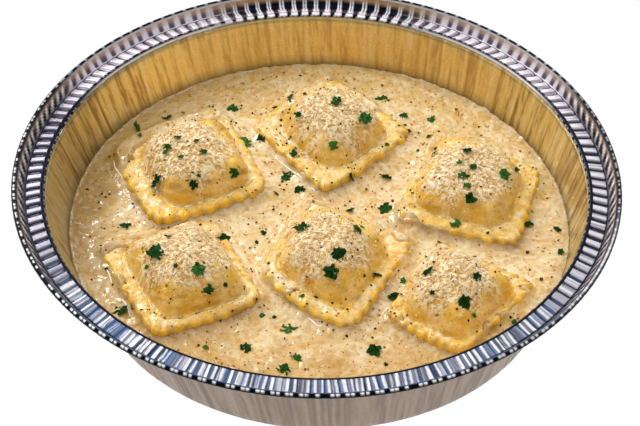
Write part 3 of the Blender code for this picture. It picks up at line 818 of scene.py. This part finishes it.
def makeSauce():
    sauce = creamSauce
    cells = sauce["cells"]
    line = np.linspace(-1, 1, cells)
    u, v = np.meshgrid(line, line, indexing="ij")
    # a square grid laid over a disc: u becomes u sqrt(1 - v^2/2), and v becomes v sqrt(1 - u^2/2)
    discX, discY = u * np.sqrt(1 - v * v / 2), v * np.sqrt(1 - u * u / 2)
    edge = innerWallRadius(sauceLevel + sauce["edgeRise"]) + 0.1 * mm
    edge = edge + fluteOffset(np.arctan2(discY, discX)) * smoothStep(0.9, 1.0, np.hypot(discX, discY))
    x, y = wallDrift(sauceLevel) + discX * edge, discY * edge
    z = sauceHeight(x, y)
    top = np.stack([x, y, z], -1).reshape(-1, 3)
    index = np.arange(cells * cells).reshape(cells, cells)
    quads = np.stack([index[:-1, :-1], index[1:, :-1], index[1:, 1:], index[:-1, 1:]], -1).reshape(-1, 4)
    loop = np.concatenate([index[:-1, 0], index[-1, :-1], index[:0:-1, -1], index[0, :0:-1]])
    skirt = top[loop] - [0, 0, 4 * mm]
    skirt[:, :2] = (skirt[:, :2] - [wallDrift(sauceLevel), 0]) * 0.985 + [wallDrift(sauceLevel), 0]
    below = len(top) + np.arange(len(loop))
    after = np.roll(np.arange(len(loop)), -1)
    sides = np.stack([loop, below, below[after], loop[after]], -1)
    middle = len(top) + len(skirt)
    bottom = np.stack([below[after], below, np.full(len(loop), middle)], -1)
    points = np.concatenate([top, skirt, [[0, 0, sauceLevel - 6 * mm]]])

    px, py = points[:, 0], points[:, 1]
    cream, pale, yolk = linearColour("#e7c381"), linearColour("#f3dbaa"), linearColour("#dca63c")
    dull, shade = linearColour("#9c7628"), linearColour("#cda356")
    tone = blendColour(cream, pale, smoothStep(-0.1, 0.4, layeredNoise(px, py, 5 * mm, 51)))
    # darker patches of cream at random
    tone = blendColour(tone, shade, 0.6 * smoothStep(0.15, 0.55, layeredNoise(px, py, 2.2 * mm, 53)))
    tone = blendColour(tone, yolk, 0.8 * smoothStep(0.16, 0.5, layeredNoise(px, py, 2.6 * mm, 52)))
    tone = blendColour(tone, linearColour("#f8e3b8"), 0.45 * smoothStep(0.2, 0.5, layeredNoise(px, py, 1.6 * mm, 56)))
    tone = blendColour(tone, linearColour("#deaa50"), 0.28 * np.exp(-(np.hypot(px - 8 * mm, py) / (26 * mm)) ** 2))
    curd = smoothStep(0.1, 0.6, layeredNoise(px, py, sauce["curdSize"], 44))
    tone = blendColour(tone, pale, 0.6 * curd)
    fromWall = innerWallRadius(sauceLevel) - np.hypot(px - wallDrift(sauceLevel), py)
    # painted shadow of the wall: darker at the left near the wall and a little all round its edge, and painted shade
    # towards the front
    leftward = smoothStep(0.45, -0.6, px / (96 * mm) + 0.1 * py / (96 * mm))
    leftward = leftward * (1 - 0.4 * smoothStep(0.1, 0.8, py / (96 * mm))) * (1 - 0.6 * smoothStep(-0.1, -0.55, py / (96 * mm)))
    tone = blendColour(tone, dull, 0.9 * leftward * smoothStep(26 * mm, 5 * mm, fromWall + 4 * mm * softNoise(px, py, 9 * mm, 54)))
    tone = blendColour(tone, dull, 0.3 * smoothStep(6 * mm, 0, fromWall))
    tone = blendColour(tone, shade, 0.5 * smoothStep(26 * mm, 6 * mm, fromWall) * smoothStep(-0.5, -0.9, py / (96 * mm)))
    tone = blendColour(tone, linearColour("#c4923a"), (0.30 + 0.34 * softNoise(px, py, 5 * mm, 57)) * smoothStep(-48 * mm, -74 * mm, py))
    # painted shadow at the front foot of each ravioli
    tone = blendColour(tone, linearColour("#94702c"), pastaFootShadow(px, py) * (0.75 + 0.3 * softNoise(px, py, 4 * mm, 55)))
    piece = makePiece("sauce_cream", points, [quads, sides, bottom], [creamMaterial], tone)
    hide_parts("cream_sauce")
    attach(piece, "root")
    return piece


makeSauce()


# ---- what lies on top ----

# The height and normal of whatever is uppermost at points of the plan: the sauce or a ravioli.
def surfaceAt(x, y):
    def height(x, y):
        z = sauceHeight(x, y)
        for one in ravioli:
            s, t = patchCoordinates(one["corners"], x, y)
            top = patchPoint(one["corners"], s, t)[..., 2] + ravioliTop(one, s, t) + cheeseShare(one, x, y) * 0.3 * mm
            z = np.where((edgeReach(one, s, t) < 0.99) & (top > z), top, z)
        return z
    step = 0.4 * mm
    z = height(x, y)
    normal = np.stack([-(height(x + step, y) - z) / step, -(height(x, y + step) - z) / step, np.ones_like(z)], -1)
    return z, normal / np.linalg.norm(normal, axis=1)[:, None]


# Thin beads along paths (count x stations x 2 in plan), laid on whatever is uppermost. The half width swells as
# sin^0.6 along the bead, and the height is a share of it.
def makeTubes(name, paths, halfWidths, flat, lift, material, tone):
    count, stations = paths.shape[:2]
    columns = 8
    z, normal = surfaceAt(paths[..., 0].ravel(), paths[..., 1].ravel())
    centre = np.concatenate([paths, (z.reshape(count, stations) + lift)[..., None]], -1)
    normal = normal.reshape(count, stations, 3)
    tangent = np.gradient(centre, axis=1)
    side = np.cross(tangent, normal)
    side /= np.linalg.norm(side, axis=-1)[..., None]
    swell = np.sin(math.pi * np.linspace(0.04, 0.96, stations)) ** 0.6 * halfWidths[:, None]
    turn = 2 * math.pi * np.arange(columns) / columns
    points = centre[:, :, None, :] + swell[..., None, None] * (
        np.cos(turn)[:, None] * side[:, :, None, :] + flat * np.sin(turn)[:, None] * normal[:, :, None, :])
    each = stations * columns + 2
    everything = np.concatenate([centre[:, :1], points.reshape(count, -1, 3), centre[:, -1:]], 1)
    quads, first, last = closedRings(stations, columns)
    faces = [repeatFaces(f[:, ::-1], count, each) for f in (quads, first, last)]
    piece = makePiece(name, everything, faces, [material], np.broadcast_to(tone, (count * each, 3)))
    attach(piece, "root")
    return piece


wetBeads = {
    "length": (2.0 * mm, 5.5 * mm), "gap": (0.5 * mm, 2.4 * mm), "halfWidth": (0.22 * mm, 0.42 * mm),
    "seamPlace": 1.06,
    # longer ridges outside an edge: which ravioli, which side, from and to along it, how far out
    "ridges": ((0, 3, -0.75, -0.25, 1.06), (0, 3, -0.1, 0.2, 1.09), (1, 3, -0.2, 0.5, 1.07), (1, 3, 0.62, 0.8, 1.06),
               (3, 3, -0.6, -0.2, 1.07), (3, 3, 0.1, 0.45, 1.08), (5, 3, 0.72, 0.98, 1.07), (4, 0, 0.2, 0.5, 1.08)),
}


# The plan of points at a given reach on one side of a ravioli.
def alongSide(one, side, along, reach):
    reach = reach * (1 + one["bows"][side] * (1 - along ** 2) * smoothStep(0.45, 1.0, reach))
    turnedS = (along, reach, -along, -reach)[side] + 0 * along
    turnedT = (-reach, along, reach, -along)[side] + 0 * along
    return patchPoint(one["corners"], turnedS, turnedT)[..., :2]


# The reach at which one side of a ravioli meets its seam, found by scaling the reach until the seam's own is 1.06.
def seamPlace(one, side, along):
    reach = 0.8 + 0 * along
    for _ in range(8):
        s, t = ((along, -reach), (reach, along), (-along, reach), (-reach, -along))[side]
        reach = reach * wetBeads["seamPlace"] / seamReach(one, s, t)
    return reach


def makeBeads():
    rng = np.random.default_rng(61)
    paths, widths = [], []
    for one in ravioli:
        for side in one["wet"]:
            place = -0.62 * halfWidth
            while place < 0.62 * halfWidth:
                length = rng.uniform(*wetBeads["length"])
                along = np.linspace(place, place + length, 9) / halfWidth
                reach = seamPlace(one, side, along) + rng.normal(0, 0.008)
                paths.append(alongSide(one, side, along, reach))
                widths.append(rng.uniform(*wetBeads["halfWidth"]))
                place += length + rng.uniform(*wetBeads["gap"])
    for number, side, start, end, reach in wetBeads["ridges"]:
        along = np.linspace(start, end, 9)
        wander = reach + 0.018 * np.sin(np.linspace(0, 5, 9) + number)
        paths.append(alongSide(ravioli[number], side, along, wander))
        widths.append(0.38 * mm)
    # their near-white colour is a painted highlight
    makeTubes("sauce_beads", np.array(paths), np.array(widths), 0.7, 0.05 * mm, beadMaterial, linearColour("#fdf3e0"))

    # the thin broken line where the sauce meets the wall, painted pale grey as a highlight
    start = np.cumsum(rng.uniform(0.02, 0.075, 125))
    start = start[start < 2 * math.pi - 0.05]
    turn = start[:, None] + rng.uniform(0.012, 0.05, len(start))[:, None] * np.linspace(0, 1, 9)
    radius = innerWallRadius(sauceLevel) - rng.uniform(0.3, 0.7, len(start))[:, None] * mm
    rings = np.stack([wallDrift(sauceLevel) + radius * np.cos(turn), radius * np.sin(turn)], -1)
    makeTubes("sauce_meniscus", rings, rng.uniform(0.14, 0.26, len(start)) * mm, 0.8, 0.0, beadMaterial, linearColour("#d9cfc4"))


makeBeads()

gratedCheese = {
    "shredsEach": 560, "shredLength": (0.6 * mm, 1.5 * mm), "shredWidth": (0.13 * mm, 0.24 * mm),
    "crumbsEach": 720, "crumbSize": (0.22 * mm, 0.5 * mm),
}


# Random places on a ravioli, kept with the odds that its cheese gives.
def cheesePlaces(one, count, rng, power=1.3):
    s, t = rng.uniform(-0.95, 0.95, (2, count * 8))
    places = patchPoint(one["corners"], s, t)[:, :2]
    keep = rng.uniform(0, 1, len(s)) < cheeseShare(one, places[:, 0], places[:, 1]) ** power
    return places[keep][:count]


# A shred is a bent bar: four square rings along x, raised in an arc.
def makeCheese():
    rng = np.random.default_rng(71)
    places = np.concatenate([cheesePlaces(one, gratedCheese["shredsEach"], rng) for one in ravioli])
    count = len(places)
    z, normal = surfaceAt(places[:, 0], places[:, 1])
    length = rng.uniform(*gratedCheese["shredLength"], count)
    width = rng.uniform(*gratedCheese["shredWidth"], count)
    bend = rng.normal(0, 0.35, count) * length
    station = np.array([-0.5, -0.2, 0.2, 0.5])
    taper = np.array([0.55, 1.0, 1.0, 0.55])
    quarter = np.radians((45, 135, 225, 315))
    local = np.zeros((count, 4, 4, 3))
    local[..., 0] = (station * length[:, None])[:, :, None]
    local[..., 1] = (bend[:, None] * (0.25 - station ** 2))[:, :, None] + (width[:, None] * taper)[:, :, None] * np.cos(quarter)
    local[..., 2] = (width[:, None] * taper)[:, :, None] * np.sin(quarter)
    axes = standingAxes(normal, rng.uniform(0, 2 * math.pi, count), 0.35, rng)
    heap = rng.uniform(0.0, 1.0, count) ** 2 * 0.7 * mm
    centres = np.column_stack([places, z]) + normal * (heap + width * 0.7)[:, None]
    points = placeCopies(local.reshape(count, 16, 3), axes, centres)
    ring = np.arange(4)
    quads = [[a * 4 + i, (a + 1) * 4 + i, (a + 1) * 4 + (i + 1) % 4, a * 4 + (i + 1) % 4] for a in range(3) for i in ring]
    quads += [[0, 1, 2, 3], [15, 14, 13, 12]]
    pale, warm = linearColour("#fff2d6"), linearColour("#ecc77e")
    tone = blendColour(pale, warm, rng.uniform(0, 1, count) ** 1.5)
    tones = np.repeat(tone, 16, axis=0)
    piece = makePiece("cheese_shreds", points, [repeatFaces(quads, count, 16)], [cheeseMaterial], tones)
    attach(piece, "root")

    places = np.concatenate([cheesePlaces(one, gratedCheese["crumbsEach"], rng, 0.5) for one in ravioli])
    makeGrains("cheese_crumbs", places, gratedCheese["crumbSize"], (pale, warm), cheeseMaterial, 0.5 * mm, rng)


# Small uneven grains with eight faces each, sunk a little into what they lie on.
def makeGrains(name, places, size, colours, material, heapHeight, rng, flat=0.8):
    count = len(places)
    z, normal = surfaceAt(places[:, 0], places[:, 1])
    radius = size[0] + (size[1] - size[0]) * rng.uniform(0, 1, count) ** 2
    corners = np.array([[1, 0, 0], [0, 1, 0], [-1, 0, 0], [0, -1, 0], [0, 0, 1], [0, 0, -1]], float)
    local = corners[None] * radius[:, None, None] * rng.uniform(0.6, 1.3, (count, 6, 1)) * [1, 1, flat]
    axes = standingAxes(normal, rng.uniform(0, 2 * math.pi, count), 0.3, rng)
    lift = radius * 0.35 + rng.uniform(0, 1, count) ** 3 * heapHeight
    points = placeCopies(local, axes, np.column_stack([places, z]) + normal * lift[:, None])
    faces = [[i, (i + 1) % 4, 4] for i in range(4)] + [[(i + 1) % 4, i, 5] for i in range(4)]
    tone = blendColour(colours[0], colours[1], rng.uniform(0, 1, count))
    piece = makePiece(name, points, [repeatFaces(faces, count, 6)], [material], np.repeat(tone, 6, axis=0), smooth=False)
    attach(piece, "root")
    return piece


makeCheese()

pepper = {"count": 640, "size": (0.20 * mm, 0.68 * mm), "fleckCount": 700, "fleckSize": (0.25 * mm, 0.75 * mm)}


def scatterPlaces(count, rng, spread=0.965):
    radius = np.sqrt(rng.uniform(0, 1, count)) * innerWallRadius(sauceLevel) * spread
    turn = rng.uniform(0, 2 * math.pi, count)
    return np.column_stack([wallDrift(sauceLevel) + radius * np.cos(turn), radius * np.sin(turn)])


def makePepper():
    rng = np.random.default_rng(81)
    places = scatterPlaces(pepper["count"] * 3, rng)
    clusters = 1.3 * softNoise(places[:, 0], places[:, 1], 8 * mm, 82) - 0.7 * smoothStep(25 * mm, 75 * mm, places[:, 0])
    places = places[rng.uniform(-1, 1, len(places)) < clusters + 0.1][:pepper["count"]]
    makeGrains("pepper_specks", places, pepper["size"], (linearColour("#1a1008"), linearColour("#5f3c18")), pepperMaterial, 0, rng)
    places = scatterPlaces(pepper["fleckCount"], rng)
    makeGrains("spice_flecks", places, pepper["fleckSize"], (linearColour("#b07a34"), linearColour("#7d5526")), pepperMaterial, 0, rng, 0.4)


makePepper()

parsley = {
    # the larger flakes, in millimetres from the pan's middle: x, y and how far across
    "large": (
        (27, 74, 6.0), (34.5, 63.5, 3.6), (-73, 52.3, 4.6), (-35, 65, 4.2), (-12, 69.5, 4.4), (-61.7, 59.5, 3.4), (-23, 45.5, 4.4), (-29, 44, 5.0),
        (-9, 34, 3.8), (-12, 25, 4.4), (-6.5, 17, 4.2), (-16, 14.5, 2.2), (13, 22.5, 3.0), (13, 5.5, 3.6), (26.3, 7.5, 4.8), (-20, -8, 2.2),
        (7.3, 52.5, 5.0), (17.8, 45.5, 4.8), (6.3, 32.5, 3.4), (-7.3, 48, 2.6),
        (-61.5, 13, 5.2), (-32.3, 16, 3.8), (-47.5, 8, 3.2), (-58, 24.5, 2.8), (-54.5, 28, 2.6), (-58.6, 22, 2.0), (-44.5, 20.5, 2.8),
        (-47, 26, 2.0), (-52.5, 17.5, 2.0),
        (-57.5, -36.5, 5.8), (-43.3, -44, 4.2), (-38.8, -49.5, 3.4), (-35, -14, 4.6), (-55, -28, 2.2), (-73, -5, 4.8), (-71, -51.5, 4.8),
        (-5.5, -19, 5.0), (15.8, -20.5, 3.6), (8, -34.5, 4.8), (6.5, -41.5, 5.2), (23.6, -33.5, 3.0), (29.5, -41.5, 4.8),
        (-9, -59, 5.2), (-25, -70, 4.2), (-6, -75, 4.0), (22, -69.5, 4.8), (-9.8, -80.5, 3.6), (-19, -53, 2.4),
        (53, -5, 4.0), (81, 0, 4.6), (93.5, -2.5, 3.0), (93, -15.5, 2.2), (72, 14, 4.2), (58.6, 1.5, 3.8), (58, 24, 3.4), (46, 28, 2.4),
        (60, 15, 2.6), (56, 11, 2.6), (55, 17, 2.0), (58, 6, 2.6), (78, 22, 2.0), (26.7, 25.3, 4.2), (36, 52, 3.2), (46.2, 61.5, 4.0),
        (41.5, -41.5, 4.2), (59, -44.5, 3.4), (53.7, -56, 4.4), (74.5, -54.5, 3.8), (33, -34, 2.6),
    ),
    "smallCount": 45, "smallSize": (1.2, 2.4),
    "points": 22,
}


# A flake: a lobed outline, round its middle in two rings, cupped and folded, with a thin underside.
def makeParsley():
    rng = np.random.default_rng(91)
    large = np.array(parsley["large"])
    small = scatterPlaces(parsley["smallCount"], rng, 0.93) / mm
    places = np.concatenate([large[:, :2], small]) * mm
    size = np.concatenate([large[:, 2] * 1.3, rng.uniform(*parsley["smallSize"], len(small))]) * mm
    count, ring = len(places), parsley["points"]
    z, normal = surfaceAt(places[:, 0], places[:, 1])
    turn = 2 * math.pi * np.arange(ring) / ring
    lobes = rng.integers(4, 7, count)[:, None]
    outline = 0.84 + 0.13 * np.cos(lobes * turn + rng.uniform(0, 6, count)[:, None]) + rng.uniform(-0.22, 0.20, (count, ring))
    outline *= 1 + 0.18 * np.cos(turn - rng.uniform(0, 6, count)[:, None])
    outline *= size[:, None] / 2
    local = np.zeros((count, 2, 1 + 2 * ring, 3))
    for layer, drop in enumerate((0.0, 0.16 * mm)):
        for start, share in ((1, 0.5), (1 + ring, 1.0)):
            local[:, layer, start:start + ring, 0] = outline * share * np.cos(turn)
            local[:, layer, start:start + ring, 1] = outline * share * np.sin(turn)
        across = local[:, layer, :, 0]
        upAlong = local[:, layer, :, 1]
        fold = rng.uniform(-0.15, 0.22, count)[:, None] if layer == 0 else fold
        cup = rng.uniform(-0.2, 0.15, count)[:, None] if layer == 0 else cup
        wrinkle = rng.normal(0, 0.05, (count, 1 + 2 * ring)) * size[:, None] if layer == 0 else wrinkle
        local[:, layer, :, 2] = fold * np.abs(across) + cup * (across ** 2 + upAlong ** 2) / (size[:, None] / 2) + wrinkle - drop
    axes = standingAxes(normal, rng.uniform(0, 2 * math.pi, count), 0.22, rng)
    onCheese = sum(cheeseShare(one, places[:, 0], places[:, 1]) for one in ravioli)
    centres = np.column_stack([places, z]) + normal * (0.35 * mm + 0.9 * mm * onCheese)[:, None]
    points = placeCopies(local.reshape(count, -1, 3), axes, centres)
    each = 2 * (1 + 2 * ring)
    under = 1 + 2 * ring
    i = np.arange(ring)
    j = (i + 1) % ring
    triangles = np.concatenate([
        np.stack([0 * i, 1 + i, 1 + j], -1),
        np.stack([under + 0 * i, under + 1 + j, under + 1 + i], -1)])
    quads = np.concatenate([
        np.stack([1 + i, 1 + ring + i, 1 + ring + j, 1 + j], -1),
        np.stack([under + 1 + j, under + 1 + ring + j, under + 1 + ring + i, under + 1 + i], -1),
        np.stack([1 + ring + i, under + 1 + ring + i, under + 1 + ring + j, 1 + ring + j], -1)])
    tone = blendColour(linearColour("#173d12"), linearColour("#3f7430"), rng.uniform(0, 1, count) ** 2)
    tones = np.repeat(tone, each, axis=0) * rng.uniform(0.7, 1.4, (count * each, 1))
    piece = makePiece("parsley_flakes", points, [repeatFaces(triangles, count, each), repeatFaces(quads, count, each)],
                      [parsleyMaterial], tones, smooth=False)
    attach(piece, "root")
    return piece


makeParsley()


# ---- floor, light and camera ----

studio = {
    "floorSize": 6.0,
    "worldStrength": 0.37,
    "camera": {"distance": 0.805, "lens": 119.6, "elevation": 41.4, "yaw": 0.10, "pitch": -1.01, "roll": 1.31, "aimHeight": 0.045},
}


def makeFloor():
    half = studio["floorSize"] / 2
    points = np.array([[-half, -half, 0], [half, -half, 0], [half, half, 0], [-half, half, 0]]) - [0, 0, 0.2 * mm]
    material, tree, shader = startMaterial("matt white acrylic sheet, lit from below", {
        "Base Color": (0.05, 0.05, 0.05, 1), "Roughness": 0.9, "Specular IOR Level": 0.0, "Emission Color": (1, 1, 1, 1), "Emission Strength": 1.0})
    floor = makePiece("floor", points, [np.array([[0, 1, 2, 3]])], [material])


def makeLight(name, size, power, place, aim, colour=(1, 1, 1)):
    light = bpy.data.lights.new(name, "AREA")
    light.shape = "RECTANGLE"
    light.size, light.size_y = size
    light.energy = power
    light.color = colour
    lamp = bpy.data.objects.new(name, light)
    bpy.context.scene.collection.objects.link(lamp)
    lamp.location = place
    lamp.rotation_euler = (Vector(aim) - Vector(place)).to_track_quat("-Z", "Y").to_euler()
    return lamp


def makeStudio():
    world = bpy.data.worlds.new("studio")
    bpy.context.scene.world = world
    world.use_nodes = True
    background = world.node_tree.nodes["Background"]
    background.inputs["Color"].default_value = (1, 1, 1, 1)
    background.inputs["Strength"].default_value = studio["worldStrength"]
    makeLight("key", (1.1, 1.1), 7.2, (-0.75, 0.5, 0.95), (0, 0, 0.02), (1, 0.98, 0.95))
    makeLight("window", (0.30, 0.30), 3.4, (-0.55, 0.75, 0.62), (0, 0, 0.02))
    makeLight("top", (1.2, 1.2), 5.5, (0.1, -0.2, 1.4), (0, 0, 0.02))
    makeLight("rear", (0.9, 0.9), 3.4, (0.55, 0.95, 0.75), (0, 0, 0.02))
    makeLight("low rear", (1.8, 0.5), 2.4, (0, 1.15, 0.42), (0, 0, 0.04))
    bpy.context.scene.view_settings.view_transform = "Standard"


# The camera stands back at its elevation and looks at the middle, then turns by yaw, pitch and roll.
def makeCamera():
    setting = studio["camera"]
    elevation, yaw, pitch, roll = (math.radians(setting[k]) for k in ("elevation", "yaw", "pitch", "roll"))
    place = Vector((0, -math.cos(elevation), math.sin(elevation))) * setting["distance"]
    forward = -place.normalized()
    right = Vector((1, 0, 0))
    up = right.cross(forward)
    forward = (forward + math.tan(yaw) * right + math.tan(pitch) * up).normalized()
    right = forward.cross(Vector((0, 0, 1))).normalized()
    up = right.cross(forward)
    turnedRight = math.cos(roll) * right + math.sin(roll) * up
    turnedUp = -math.sin(roll) * right + math.cos(roll) * up
    place.z += setting["aimHeight"]
    data = bpy.data.cameras.new("camera")
    data.sensor_width = 36
    data.lens = setting["lens"]
    data.clip_start = 0.01
    camera = bpy.data.objects.new("camera", data)
    bpy.context.scene.collection.objects.link(camera)
    camera.matrix_world = Matrix([[turnedRight[k], turnedUp[k], -forward[k], place[k]] for k in range(3)] + [[0, 0, 0, 1]])
    bpy.context.scene.camera = camera


makeFloor()
makeStudio()
makeCamera()
print("studio ready")
